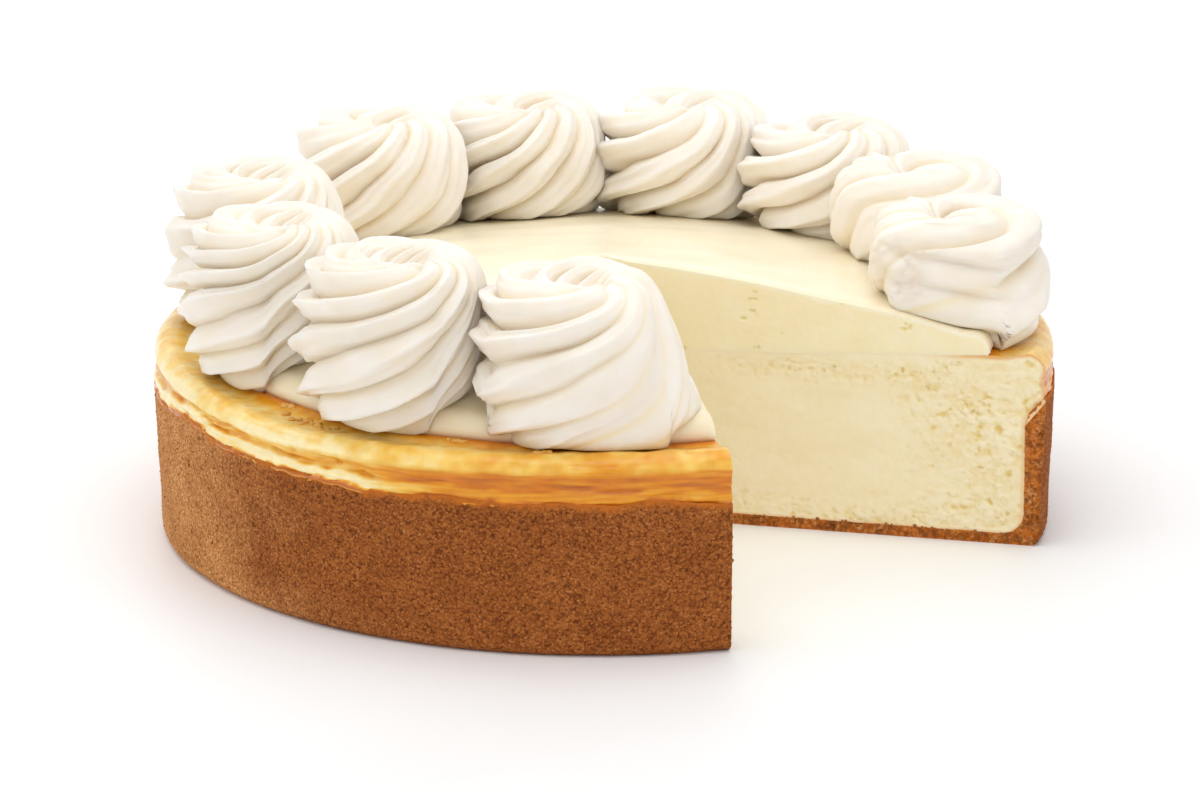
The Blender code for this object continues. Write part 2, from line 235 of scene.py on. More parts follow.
def cut_sheet(outline, spacing, seed):
    """Even triangles over a closed (r, z) outline: points, triangles, and the
    distance of each point from the outline."""
    edge = []
    for a, b in zip(outline, np.roll(outline, -1, axis=0)):
        length = math.hypot(*(b - a))
        if length < 1e-4:
            continue
        n = max(1, int(length / (spacing * 1.1)))
        edge.extend(a + (b - a) * k / n for k in range(n))
    edge = np.array(edge)
    rng = np.random.RandomState(seed)
    low, high = edge.min(0), edge.max(0)
    i, j = np.meshgrid(np.arange(int((high[0] - low[0]) / spacing) + 2), np.arange(int((high[1] - low[1]) / (spacing * 0.87)) + 2))
    grid = np.stack([low[0] + (i + 0.5 * (j % 2)) * spacing, low[1] + j * spacing * 0.87], -1).reshape(-1, 2)
    grid = grid + rng.uniform(-0.12, 0.12, grid.shape) * spacing
    held, near = inside_of(grid, outline)
    grid = grid[held & (near > 0.45 * spacing)]
    near = near[held & (near > 0.45 * spacing)]
    every = np.concatenate([edge, grid])
    verts, _, faces, origin, _, _ = delaunay_2d_cdt(
        [Vector(p) for p in every], [], [list(range(len(edge)))], 1, 1e-5
    )
    points = np.array([tuple(v) for v in verts])
    far = np.concatenate([np.zeros(len(edge)), near])
    distance = np.array([far[o[0]] if o else 0.0 for o in origin])
    tris = np.array([f for f in faces if len(f) == 3])
    a, b, c = points[tris[:, 0]], points[tris[:, 1]], points[tris[:, 2]]
    turned = (b[:, 0] - a[:, 0]) * (c[:, 1] - a[:, 1]) - (b[:, 1] - a[:, 1]) * (c[:, 0] - a[:, 0]) < 0
    tris[turned] = tris[turned][:, ::-1]
    return points, tris, distance


def make_object(name, points, quads, material, tris=None, weld=0.0):
    """An object from points in millimetres and arrays of faces."""
    mesh = bpy.data.meshes.new(name)
    points = np.asarray(points, float).reshape(-1, 3) * MM
    faces = [np.asarray(quads, np.int64).reshape(-1)] if len(quads) else []
    sizes = [np.full(len(quads), 4, np.int64)] if len(quads) else []
    if tris is not None and len(tris):
        faces.append(np.asarray(tris, np.int64).reshape(-1))
        sizes.append(np.full(len(tris), 3, np.int64))
    corners = np.concatenate(faces)
    counts = np.concatenate(sizes)
    starts = np.concatenate([[0], np.cumsum(counts)[:-1]])
    mesh.vertices.add(len(points))
    mesh.vertices.foreach_set("co", points.reshape(-1).astype(np.float32))
    mesh.loops.add(len(corners))
    mesh.loops.foreach_set("vertex_index", corners.astype(np.int32))
    mesh.polygons.add(len(counts))
    mesh.polygons.foreach_set("loop_start", starts.astype(np.int32))
    mesh.update(calc_edges=True)
    mesh.validate()
    mesh.shade_smooth()
    if material:
        mesh.materials.append(material)
    obj = bpy.data.objects.new(name, mesh)
    bpy.context.scene.collection.objects.link(obj)
    if weld:
        import bmesh

        bm = bmesh.new()
        bm.from_mesh(mesh)
        bmesh.ops.remove_doubles(bm, verts=bm.verts, dist=weld * MM)
        bmesh.ops.recalc_face_normals(bm, faces=bm.faces)
        bm.to_mesh(mesh)
        bm.free()
    return obj


def point_values(obj, name, values):
    """A number on each vertex for the material to read."""
    layer = obj.data.attributes.new(name, "FLOAT", "POINT")
    layer.data.foreach_set("value", np.asarray(values, np.float32).reshape(-1))


def place(obj, *nodes, slot):
    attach(obj, "root")
    if nodes:
        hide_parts(*nodes)
    return obj


# ---- materials -------------------------------------------------------------------
def srgb(r, g, b):
    def lin(v):
        v /= 255.0
        return v / 12.92 if v <= 0.04045 else ((v + 0.055) / 1.055) ** 2.4

    return (lin(r), lin(g), lin(b), 1.0)


class Maker:
    """Short names for building a node material."""

    def __init__(self, name, roughness, subsurface=0.0, radius=(1.0, 0.6, 0.3), scale=0.004, coat=0.0):
        self.mat = bpy.data.materials.new(name)
        self.mat.use_nodes = True
        self.tree = self.mat.node_tree
        self.bsdf = self.tree.nodes["Principled BSDF"]
        self.bsdf.inputs["Roughness"].default_value = roughness
        if subsurface:
            self.bsdf.inputs["Subsurface Weight"].default_value = subsurface
            self.bsdf.inputs["Subsurface Radius"].default_value = radius
            self.bsdf.inputs["Subsurface Scale"].default_value = scale
        if coat:
            self.bsdf.inputs["Coat Weight"].default_value = coat
            self.bsdf.inputs["Coat Roughness"].default_value = 0.25
        self.coord = self.node("ShaderNodeTexCoord")

    def node(self, kind, **values):
        made = self.tree.nodes.new(kind)
        for key, value in values.items():
            setattr(made, key, value)
        return made

    def link(self, a, b):
        self.tree.links.new(a, b)

    def position(self, scale=(1.0, 1.0, 1.0)):
        m = self.node("ShaderNodeMapping")
        m.inputs["Scale"].default_value = scale
        self.link(self.coord.outputs["Object"], m.inputs["Vector"])
        return m.outputs["Vector"]

    def noise(self, size_mm, detail=3.0, rough=0.5, stretch=(1.0, 1.0, 1.0), distortion=0.0):
        n = self.node("ShaderNodeTexNoise")
        n.inputs["Scale"].default_value = 1000.0 / size_mm
        n.inputs["Detail"].default_value = detail
        n.inputs["Roughness"].default_value = rough
        n.inputs["Distortion"].default_value = distortion
        self.link(self.position(stretch), n.inputs["Vector"])
        return n.outputs["Fac"]

    def cells(self, size_mm, feature="F1"):
        n = self.node("ShaderNodeTexVoronoi")
        n.feature = feature
        n.inputs["Scale"].default_value = 1000.0 / size_mm
        self.link(self.position(), n.inputs["Vector"])
        return n

    def value(self, name):
        n = self.node("ShaderNodeAttribute")
        n.attribute_name = name
        return n.outputs["Fac"]

    def ramp(self, source, *stops):
        n = self.node("ShaderNodeValToRGB")
        e = n.color_ramp.elements
        e[0].position, e[0].color = stops[0]
        e[1].position, e[1].color = stops[-1]
        for at, colour in stops[1:-1]:
            made = e.new(at)
            made.color = colour
        self.link(source, n.inputs["Fac"])
        return n.outputs["Color"]

    def mix(self, factor, a, b, kind="MIX"):
        n = self.node("ShaderNodeMix")
        n.data_type = "RGBA"
        n.blend_type = kind
        for socket, value in ((n.inputs["Factor"], factor), (n.inputs["A"], a), (n.inputs["B"], b)):
            pass
        for index, value in ((0, factor), (6, a), (7, b)):
            if hasattr(value, "is_output"):
                self.link(value, n.inputs[index])
            else:
                n.inputs[index].default_value = value
        return n.outputs[2]

    def math(self, kind, a, b=0.0, clamp=False):
        n = self.node("ShaderNodeMath")
        n.operation = kind
        n.use_clamp = clamp
        for index, value in ((0, a), (1, b)):
            if hasattr(value, "is_output"):
                self.link(value, n.inputs[index])
            else:
                n.inputs[index].default_value = value
        return n.outputs[0]

    def remap(self, source, low, high, to_low=0.0, to_high=1.0):
        n = self.node("ShaderNodeMapRange")
        n.inputs["From Min"].default_value = low
        n.inputs["From Max"].default_value = high
        n.inputs["To Min"].default_value = to_low
        n.inputs["To Max"].default_value = to_high
        self.link(source, n.inputs["Value"])
        return n.outputs["Result"]

    def colour(self, source):
        self.link(source, self.bsdf.inputs["Base Color"])

    def roughness(self, source):
        self.link(source, self.bsdf.inputs["Roughness"])

    def bump(self, source, depth_mm, strength=1.0):
        n = self.node("ShaderNodeBump")
        n.inputs["Strength"].default_value = strength
        n.inputs["Distance"].default_value = depth_mm * MM
        self.link(source, n.inputs["Height"])
        self.link(n.outputs["Normal"], self.bsdf.inputs["Normal"])


def whipped_material():
    m = Maker("whipped_cream", 0.42, subsurface=0.5, radius=(1.0, 0.8, 0.55), scale=0.006)
    m.bsdf.inputs["Specular IOR Level"].default_value = 0.35
    soft = m.noise(9.0, 2.0)
    base = m.ramp(soft, (0.35, srgb(243, 236, 227)), (0.65, srgb(241, 232, 219)))
    # Painted shade: a warm yellow tint in the valleys between the ridges and round the foot, where shade falls.
    m.colour(m.mix(m.math("MULTIPLY", m.value("painted_crease_shade"), 0.75), base, srgb(243, 224, 172)))
    fine = m.math("ADD", m.math("MULTIPLY", m.noise(1.1, 3.0), 0.5), m.noise(4.0, 2.0))
    m.bump(fine, 0.12, 0.5)
    m.roughness(m.remap(m.noise(3.0, 2.0), 0.3, 0.7, 0.36, 0.5))
    return m.mat


def banana_material():
    m = Maker("banana_cream", 0.3, subsurface=0.2, radius=(1.0, 0.8, 0.35), scale=0.004)
    m.bsdf.inputs["Specular IOR Level"].default_value = 0.4
    cut = m.value("cut")
    top = m.ramp(m.noise(26.0, 3.0), (0.35, srgb(243, 230, 198)), (0.65, srgb(246, 235, 208)))
    inner = m.ramp(m.noise(7.0, 4.0), (0.3, srgb(245, 231, 190)), (0.7, srgb(247, 235, 200)))
    # A painted highlight: a near-white line along the cut's upper edge.
    edge = m.mix(m.value("edge"), inner, srgb(250, 243, 220))
    # Painted shade: a yellow tint in the pits of the cut face.
    edge = m.mix(m.value("pit"), edge, srgb(238, 222, 152))
    m.colour(m.mix(cut, top, edge))
    m.roughness(m.remap(m.noise(45.0, 1.0), 0.3, 0.7, 0.27, 0.37))
    m.bump(m.math("MULTIPLY", m.noise(1.6, 4.0), cut), 0.06, 0.5)
    return m.mat


def cake_material():
    m = Maker("cheesecake", 0.4, subsurface=0.06, radius=(1.0, 0.85, 0.55), scale=0.002)
    m.bsdf.inputs["Specular IOR Level"].default_value = 0.5
    cut = m.value("cut")
    # This value is mostly the skin's real browning, and also carries painted light: a paler painted highlight on the
    # left shoulder, painted shade on the ledge near the cream, and painted yellow shade in the cut faces' hollows.
    browning_and_painted_light = m.value("browning_and_painted_light")  # 0 pale skin, 1 baked brown
    inner = m.ramp(m.noise(2.6, 5.0, 0.6), (0.3, srgb(241, 226, 187)), (0.7, srgb(246, 235, 203)))
    curd = m.ramp(m.noise(22.0, 4.0, 0.55, (1.0, 1.0, 2.2)), (0.35, srgb(238, 221, 178)), (0.65, srgb(246, 235, 203)))
    inner = m.mix(0.45, inner, curd)
    # On the cut faces this mix paints shade: a yellow tint in the hollows.
    inner = m.mix(browning_and_painted_light, inner, srgb(232, 206, 128))
    stops = (
        (0.0, srgb(254, 237, 184)),
        (0.12, srgb(252, 228, 154)),
        (0.28, srgb(248, 202, 92)),
        (0.5, srgb(236, 160, 24)),
        (0.75, srgb(220, 126, 4)),
        (1.0, srgb(168, 88, 28)),
    )
    skin = m.ramp(browning_and_painted_light, *stops)
    mottle = m.ramp(m.noise(3.2, 4.0, 0.6), (0.3, srgb(226, 214, 196)), (0.7, srgb(255, 255, 255)))
    skin = m.mix(0.4, skin, mottle, "MULTIPLY")
    stain = m.mix(m.value("stain"), inner, srgb(226, 158, 66))
    m.colour(m.mix(cut, skin, stain))
    m.roughness(m.remap(m.math("ADD", cut, m.math("MULTIPLY", m.noise(2.0, 3.0), 0.3)), 0.1, 1.1, 0.17, 0.7))
    m.bump(m.math("ADD", m.noise(0.9, 4.0, 0.6), m.noise(3.0, 3.0)), 0.14, 0.55)
    return m.mat


def crust_material():
    m = Maker("crumb_crust", 0.85)
    m.bsdf.inputs["Specular IOR Level"].default_value = 0.12
    cell = m.cells(0.62)
    tone = m.node("ShaderNodeSeparateColor")
    m.link(cell.outputs["Color"], tone.inputs["Color"])
    base = m.ramp(
        tone.outputs[0],
        (0.0, srgb(116, 62, 26)),
        (0.25, srgb(156, 90, 41)),
        (0.7, srgb(174, 103, 48)),
        (0.95, srgb(188, 116, 58)),
        (1.0, srgb(192, 128, 72)),
    )
    # Golden colours: partly a painted sheen, lighter on the left side where light grazes the crumb, and partly uneven
    # browning.
    golden_and_painted_sheen = m.ramp(
        tone.outputs[0],
        (0.0, srgb(172, 108, 56)),
        (0.25, srgb(206, 142, 82)),
        (0.75, srgb(218, 156, 94)),
        (1.0, srgb(234, 184, 122)),
    )
    base = m.mix(m.value("golden_and_painted_sheen"), base, golden_and_painted_sheen)
    broad = m.ramp(m.noise(13.0, 4.0), (0.35, srgb(222, 212, 202)), (0.65, srgb(255, 255, 255)))
    base = m.mix(0.6, base, broad, "MULTIPLY")
    gaps = m.ramp(cell.outputs["Distance"], (0.35, (1, 1, 1, 1)), (0.85, srgb(160, 130, 112)))
    base = m.mix(0.6, base, gaps, "MULTIPLY")
    base = m.mix(m.value("brown"), base, srgb(202, 112, 36))
    m.colour(base)
    height = m.math("SUBTRACT", m.noise(0.5, 3.0), m.math("MULTIPLY", cell.outputs["Distance"], 0.8))
    m.bump(height, 0.22, 0.85)
    m.roughness(m.remap(m.noise(1.0, 2.0), 0.3, 0.7, 0.72, 0.95))
    return m.mat


def crumb_material():
    m = Maker("crumbs", 0.8)
    tone = m.noise(2.2, 3.0, 0.6)
    m.bsdf.inputs["Specular IOR Level"].default_value = 0.15
    m.colour(m.ramp(tone, (0.3, srgb(126, 70, 30)), (0.55, srgb(158, 94, 42)), (0.8, srgb(190, 130, 74))))
    m.bump(m.noise(0.5, 3.0), 0.2, 0.8)
    m.roughness(m.remap(m.noise(1.0, 2.0), 0.3, 0.7, 0.6, 0.9))
    return m.mat


def bit_material():
    m = Maker("torn_skin", 0.42)
    tone = m.noise(1.6, 4.0, 0.6)
    m.colour(m.ramp(tone, (0.3, srgb(206, 132, 48)), (0.5, srgb(234, 176, 78)), (0.75, srgb(244, 208, 128))))
    m.bump(m.noise(0.6, 3.0), 0.15, 0.7)
    m.roughness(m.remap(m.noise(1.0, 2.0), 0.3, 0.7, 0.3, 0.55))
    return m.mat


def floor_material():
    m = Maker("floor", 0.55)
    m.colour(m.ramp(m.noise(300.0, 2.0), (0.3, srgb(246, 246, 246)), (0.7, srgb(250, 250, 250))))
    m.roughness(m.remap(m.noise(200.0, 2.0), 0.3, 0.7, 0.5, 0.6))
    return m.mat


# ---- profiles --------------------------------------------------------------------
def cake_top(r):
    r = np.asarray(r, float)
    inner = CAKE_MID_TOP + (CAKE_LEDGE_TOP - CAKE_MID_TOP) * (np.minimum(r, CREAM_EDGE_R) / CREAM_EDGE_R) ** 1.6
    t = np.clip((r - CREAM_EDGE_R) / (CAKE_RIM_R - CREAM_EDGE_R), 0, 1)
    return np.where(r <= CREAM_EDGE_R, inner, CAKE_LEDGE_TOP + (CAKE_RIM_TOP - CAKE_LEDGE_TOP) * t)


def cream_top(r):
    r = np.asarray(r, float)
    dome = CREAM_TOP - (CREAM_TOP - CREAM_SHOULDER_TOP) * (np.minimum(r, CREAM_SHOULDER_R) / CREAM_SHOULDER_R) ** CREAM_FALL
    t = np.clip((r - CREAM_SHOULDER_R) / (CREAM_EDGE_R - CREAM_SHOULDER_R), 0, 1)
    low = CAKE_LEDGE_TOP + 0.5
    edge = low + (CREAM_SHOULDER_TOP - low) * np.sqrt(np.clip(1 - t * t, 0, 1))
    return np.where(r <= CREAM_SHOULDER_R, dome, edge)


def inner_wall(z, out=0.0):
    """Radius of the crust's inner face at a height."""
    z = np.asarray(z, float)
    f = np.clip((z - CRUST_BASE - out) / (WALL_FILLET - out), 0, 1)
    fillet = WALL_INNER_R - WALL_FILLET + (WALL_FILLET - out) * np.sqrt(np.clip(1 - (1 - f) ** 2, 0, 1))
    low = CRUST_TOP - WALL_TAPER
    t = np.clip((z - low) / WALL_TAPER, 0, 1) ** 1.25
    taper = WALL_INNER_R + (CRUST_R_TOP - 0.4 - WALL_INNER_R) * t ** 1.5 - out
    return np.where(z < CRUST_BASE + WALL_FILLET, fillet, taper)


def outer_wall(z):
    """Radius of the crust's outer face at a height."""
    z = np.asarray(z, float)
    f = np.clip(z / CRUST_FOOT_ROUND, 0, 1)
    foot = CRUST_FOOT_R + CRUST_FOOT_ROUND * 0.94 * np.sqrt(np.clip(1 - (1 - f) ** 2, 0, 1))
    wall = along_line(z, ((0, CRUST_R_LOW), (12, CRUST_R_LOW + 0.1), (28, CRUST_R_TOP - 0.5), (44.4, CRUST_R_TOP)))
    return np.where(z < CRUST_FOOT_ROUND, foot, wall)


def crust_line(azimuth):
    """Uneven height at which the crumb ends and the bare cake begins."""
    ring = on_ring(azimuth, 128.0, 0.0)
    wave = 43.9 + 1.1 * noise(ring, 17.0, 71) + 0.7 * noise(ring, 6.0, 72)
    seen = along_line(
        azimuth,
        ((-80, 0), (-70, 1.6), (-64, 3.0), (-56, 0.4), (-48, 0.4), (-34, -0.4), (-28, -1.2), (-19, 0.5), (-12, -0.7), (-6, 0), (2, -0.4), (7.4, 0.8), (14, -1.6)),
    )
    known = smooth(-85, -72, azimuth) * (1 - smooth(16, 18, azimuth))
    return wave * (1 - known) + (44.0 + seen + 0.35 * noise(ring, 4.0, 73)) * known


SPAN = (CUT_TO, CUT_FROM + 360.0)  # azimuths where there is cake


# ---- crust -----------------------------------------------------------------------
def make_crust(material):
    """Wall and base in one skin: outer face, top edge, inner face, and the cut
    faces as strips between the outer and the inner face."""
    columns = 790
    az = np.linspace(SPAN[0], SPAN[1], columns)
    turn = (az + 180) % 360 - 180
    top = np.minimum(crust_line(turn), CRUST_TOP + 3.0)
    # outer face from the underside's edge to the top
    steps = 80
    s = np.linspace(0, 1, steps)
    foot_points = 8
    rows = []
    for i in range(foot_points):
        a = math.radians(-90 + 72 * i / (foot_points - 1))
        rows.append((CRUST_FOOT_R + CRUST_FOOT_ROUND * math.cos(a), CRUST_FOOT_ROUND + CRUST_FOOT_ROUND * math.sin(a), None))
    z0 = rows[-1][1]
    points, brown = [], []
    for r, z, _ in rows:
        points.append((np.full(columns, r), np.full(columns, z)))
    for t in np.linspace(0, 1, steps)[1:]:
        z = z0 + (top - z0) * t
        points.append((outer_wall(np.minimum(z, 44.4)) , z))
    outer_rows = len(points)
    # over the thin top edge and down inside
    for k, (dr, dz) in enumerate(((0.25, 0.25), (0.7, 0.1), (1.1, -0.6))):
        r, z = points[outer_rows - 1]
        points.append((r - dr, z + dz))
    low = CRUST_BASE + WALL_FILLET
    for t in np.linspace(0, 1, 9)[1:]:
        z = (top - 0.6) + (low - (top - 0.6)) * t
        points.append((np.minimum(inner_wall(np.minimum(z, 43.5)), points[outer_rows + 2][0]), z))
    for a in (22.5, 45, 67.5, 90):
        r = WALL_INNER_R - WALL_FILLET + WALL_FILLET * math.cos(math.radians(a))
        z = CRUST_BASE + WALL_FILLET - WALL_FILLET * math.sin(math.radians(a))
        points.append((np.full(columns, r), np.full(columns, z)))
    for r in (100.0, 70.0, 40.0, 15.0, 0.4):
        points.append((np.full(columns, r), np.full(columns, CRUST_BASE)))
    for r in (0.4, 15.0, 40.0, 70.0, 100.0, 119.0):
        points.append((np.full(columns, r), np.full(columns, 0.0)))
    R = np.array([p[0] for p in points])
    Z = np.array([p[1] for p in points])
    rows_n = len(points)
    A = np.broadcast_to(az, R.shape)
    P = on_ring(A, R, Z)
    # crumbly relief, only inwards of the frame's outer face
    row = np.arange(rows_n)[:, None]
    on_outer = ((row >= 2) & (row < outer_rows + 1)).astype(float)
    coarse = layered(P, 9.0, 11, 3)
    grain = grains(P, 1.15, 21)
    fine = grains(P, 0.75, 31)
    relief = -0.30 + 0.28 * grain + 0.16 * fine + 0.26 * coarse
    pit = smooth(0.52, 0.8, noise(P, 2.2, 41))
    relief -= 0.55 * pit
    relief = np.minimum(relief, 0.25) * on_outer
    edge = smooth(outer_rows - 8, outer_rows - 2, row) * on_outer
    relief = relief * (1 - 0.5 * edge)
    R2 = R + relief
    P = on_ring(A, R2, Z)
    wave = 0.35 * noise(P, 1.8, 51) * smooth(outer_rows - 5, outer_rows - 1, row) * on_outer
    P[..., 2] += wave
    under = (Z <= 0.0) | (row < 1)
    P[..., 2] = np.where(under, np.maximum(P[..., 2], 0.0), P[..., 2])
    P[..., 2] = np.maximum(P[..., 2], 0.0)
    points3 = P.reshape(-1, 3)
    quads = grid_faces(rows_n, columns)
    near_top = Z - top[None, :] + 1.1 * noise(P, 3.0, 61) + 0.5 * noise(P, 1.0, 64)
    brown = 0.8 * smooth(-2.6, 0.6, near_top) * on_outer
    brown = brown.reshape(-1)
    # close the ring of rows: last row (underside edge) meets the first
    j = np.arange(columns - 1)
    last = (rows_n - 1) * columns
    seam = np.stack([last + j, last + j + 1, j + 1, j], -1)
    quads = np.concatenate([quads, seam])
    # cut faces
    faces, extra = [], []
    base = n_skin = len(points3)
    for column in (0, columns - 1):
        azimuth = math.radians(az[column])
        radial = np.array([math.sin(azimuth), -math.cos(azimuth), 0.0])
        loop = P[:, column]
        flat, tris, far = cut_sheet(np.stack([loop @ radial, loop[:, 2]], -1), 0.42, 83)
        sheet = on_ring(np.full(len(flat), az[column]), flat[:, 0], flat[:, 1])
        normal = np.array([math.cos(azimuth), math.sin(azimuth), 0.0]) * (-1 if column == 0 else 1)
        push = 0.75 * grains(sheet, 1.5, 81) + 0.35 * grains(sheet, 0.8, 85) + 0.4 * noise(sheet, 2.6, 82) - 0.75
        sheet = sheet + (np.minimum(push, 0.2) * np.clip(far / 0.5, 0, 1))[:, None] * normal
        faces.append((tris[:, ::-1] if column == 0 else tris) + base)
        base += len(sheet)
        extra.append(sheet)
    points3 = np.concatenate([points3, *extra])
    brown = np.concatenate([brown, np.clip(0.4 + 0.5 * noise(points3[n_skin:], 3.0, 66), 0, 1)])
    obj = make_object("crumb_crust_skin", points3, quads, material, np.concatenate(faces))
    point_values(obj, "brown", brown)
    x, y = points3[:, 0], points3[:, 1]
    around = np.degrees(np.arctan2(x, -y))
    wide = np.hypot(x, y)
    # Lighter and more golden on the left and lower left: partly a painted sheen where light grazes the crumb from the
    # left, and partly uneven browning. Random golden patches at the back, random tone on the cut faces.
    golden_and_painted_sheen = 1.3 * smooth(-40, -72, around + 6 * noise(points3, 14.0, 62)) * smooth(-172, -105, around) * (around < 0)
    golden_and_painted_sheen = golden_and_painted_sheen + 0.55 * smooth(14, 3, points3[:, 2]) * smooth(-20, -60, around) * smooth(-172, -120, around) * (around < 0)
    golden_and_painted_sheen = golden_and_painted_sheen + 0.5 * smooth(0.1, 0.6, noise(points3, 40.0, 63)) * smooth(85, 115, np.abs(around))
    golden_and_painted_sheen = np.where(np.arange(len(points3)) >= n_skin, 0.45 + 1.3 * noise(points3, 1.1, 65), golden_and_painted_sheen * 0.95)
    point_values(obj, "golden_and_painted_sheen", np.clip(golden_and_painted_sheen, 0, 1))
    return obj


# ---- cheesecake ------------------------------------------------------------------
def rim_drop(azimuth):
    """How far the shoulder sinks below its usual height."""
    ring = on_ring(azimuth, 124.0, 0.0)
    seen = along_line(azimuth, ((-90, 0.8), (-66, 1.2), (-45, 2.6), (-30, 1.9), (-5, 0.3), (14, 0.2), (16, 0.4)))
    known = smooth(-95, -80, azimuth) * (1 - smooth(16, 18, azimuth))
    return (0.9 + 0.8 * noise(ring, 30.0, 91)) * (1 - known) + seen * known


def make_cake(material):
    columns = 620
    az = np.linspace(SPAN[0], SPAN[1], columns)
    turn = (az + 180) % 360 - 180
    line = crust_line(turn)
    drop = rim_drop(turn)
    rows = []
    # from the middle, over the top, round the shoulder and down to the crumb line
    for r in (0.4, 30.0, 60.0, 86.0, 100.0):
        rows.append((np.full(columns, r), cake_top(r) + 0 * az))
    ledge = np.linspace(106.0, 120.0, 18)
    for r in ledge:
        rise = smooth(112.0, 121.0, r)
        rows.append((np.full(columns, r), cake_top(r) + 0 * az - drop * rise - 0.5 * math.exp(-((r - 116.5) / 3.0) ** 2)))
    shoulder_z = CAKE_RIM_TOP - drop
    for a in np.linspace(86, 4, 22):
        c, s = math.cos(math.radians(a)), math.sin(math.radians(a))
        rows.append((CAKE_R - SHOULDER + (SHOULDER - 0.2) * c + 0 * az, shoulder_z - SHOULDER + SHOULDER * s))
    n_top = len(rows)
    z_from = shoulder_z - SHOULDER
    for t in np.linspace(0, 1, 26)[1:]:
        z = z_from + (line - 1.0 - z_from) * t
        rows.append((CAKE_R - 0.25 - 0.35 * np.sin(np.pi * t) + 0 * az, z))
    n_side = len(rows)
    # tucked behind the crust, then down its inner face to the base
    last_r, last_z = rows[-1]
    rows.append((last_r - 0.5, last_z - 0.6))
    for t in np.linspace(0, 1, 6)[1:]:
        z = last_z - 1.2 + (CRUST_BASE + WALL_FILLET - last_z + 1.2) * t
        rows.append((np.minimum(inner_wall(np.minimum(z, 43.0), -0.15), last_r - 0.6), z))
    for a in (30, 60, 90):
        rows.append((np.full(columns, WALL_INNER_R - WALL_FILLET + (WALL_FILLET + 0.15) * math.cos(math.radians(a))),
                     np.full(columns, CRUST_BASE + WALL_FILLET - (WALL_FILLET + 0.15) * math.sin(math.radians(a)))))
    for r in (60.0, 0.4):
        rows.append((np.full(columns, r), np.full(columns, CRUST_BASE - 0.15)))
    R = np.array([r for r, _ in rows])
    Z = np.array([z for _, z in rows])
    A = np.broadcast_to(az, R.shape)
    P = on_ring(A, R, Z)
    row = np.arange(len(rows))[:, None]
    ring = on_ring(A, 0 * R + 60.0, 0.0)
    skin = smooth(22, 30, row) * (1 - smooth(n_side - 1, n_side, row))
    # wrinkles that run round the rim
    q = np.stack([np.radians(A) * 128.0, 0 * A, Z], -1)
    turnA = (A + 180) % 360 - 180
    h = Z - line[None, :]
    seen = (np.abs(turnA + 35) < 52).astype(float)
    left = (1 - smooth(-34, -20, turnA)) * seen + (1 - seen) * 0.7 * smooth(-0.2, 0.3, noise(ring, 40.0, 115)) * (turnA < 0)
    band = smooth(n_top - 7, n_top + 1, row) * (1 - smooth(n_side - 2, n_side, row))
    strip_top = 2.9 + 0.8 * noise(q, (14.0, 1.0, 9.0), 116) + 0.35 * noise(q, (4.0, 1.0, 9.0), 117)
    pale = smooth(strip_top + 0.35, strip_top - 0.35, h) * left * band
    amber = smooth(strip_top - 0.2, strip_top + 0.8, h) * smooth(9.2, 7.0, h) * band
    folds = noise(q, (18.0, 1.0, 1.7), 101)
    folds2 = noise(q, (8.0, 1.0, 0.9), 102)
    lines = smooth(0.25, 0.6, noise(q, (24.0, 1.0, 1.2), 118)) * amber
    push = band * (-0.40 + 0.32 * folds + 0.28 * folds2) - 0.85 * amber * (0.45 + 0.55 * left) - 0.35 * lines
    torn = smooth(0.35, 0.6, noise(q, (4.5, 1.0, 1.8), 105)) * amber * left
    push -= 0.7 * torn
    push += 0.5 * pale
    push += skin * (0.22 * noise(P, 6.0, 106) - 0.22)
    R2 = np.minimum(R + push, CAKE_R)
    lift = (1 - band) * smooth(8, 22, row) * (1 - smooth(n_top, n_top + 2, row))
    P = on_ring(A, R2, Z + lift * (0.28 * noise(P, 7.0, 107) - 0.28 + 0.10 * noise(P, 2.0, 108)))
    right = 1 - left
    browning_and_painted_light = (
        0.40
        - 0.14 * left
        + 0.16 * right
        - 0.28 * pale
        + amber * (0.12 + 0.12 * np.clip(noise(q, (16.0, 1.0, 1.6), 111) + 0.2, 0, 1))
        + 0.12 * lines
        + 0.12 * torn
        + 0.08 * noise(q, (7.0, 1.0, 1.1), 112)
        + 0.14 * noise(q, (10.0, 1.0, 0.7), 151)
        + 0.08 * noise(q, (3.0, 1.0, 0.6), 152) * left
    ) * band
    end = smooth(-12, 2, turnA) * seen
    browning_and_painted_light -= 0.26 * end * smooth(9.6, 10.4, h) * smooth(14.5, 13.0, h) * band
    browning_and_painted_light += 0.30 * end * np.exp(-((h - 9.2 - 0.3 * noise(q, (12.0, 1.0, 9.0), 153)) / 0.5) ** 2) * band
    # Painted highlight: a paler, glossy-looking line along the shoulder at the left.
    painted_highlight = np.exp(-(((row - (n_top - 8)) / 3.5) ** 2)) * smooth(-26, -42, turnA) * seen
    browning_and_painted_light -= (0.24 + 0.3 * noise(q, (20.0, 1.0, 9.0), 154)) * painted_highlight
    low = smooth(1.1, -0.2, h + 0.6 * noise(q, (5.0, 1.0, 2.0), 113) + 0.3 * noise(q, (1.4, 1.0, 1.4), 120)) * band
    browning_and_painted_light = browning_and_painted_light + low * (0.9 - browning_and_painted_light)
    ledge_r = np.hypot(P[..., 0], P[..., 1])
    on_ledge = 1 - band
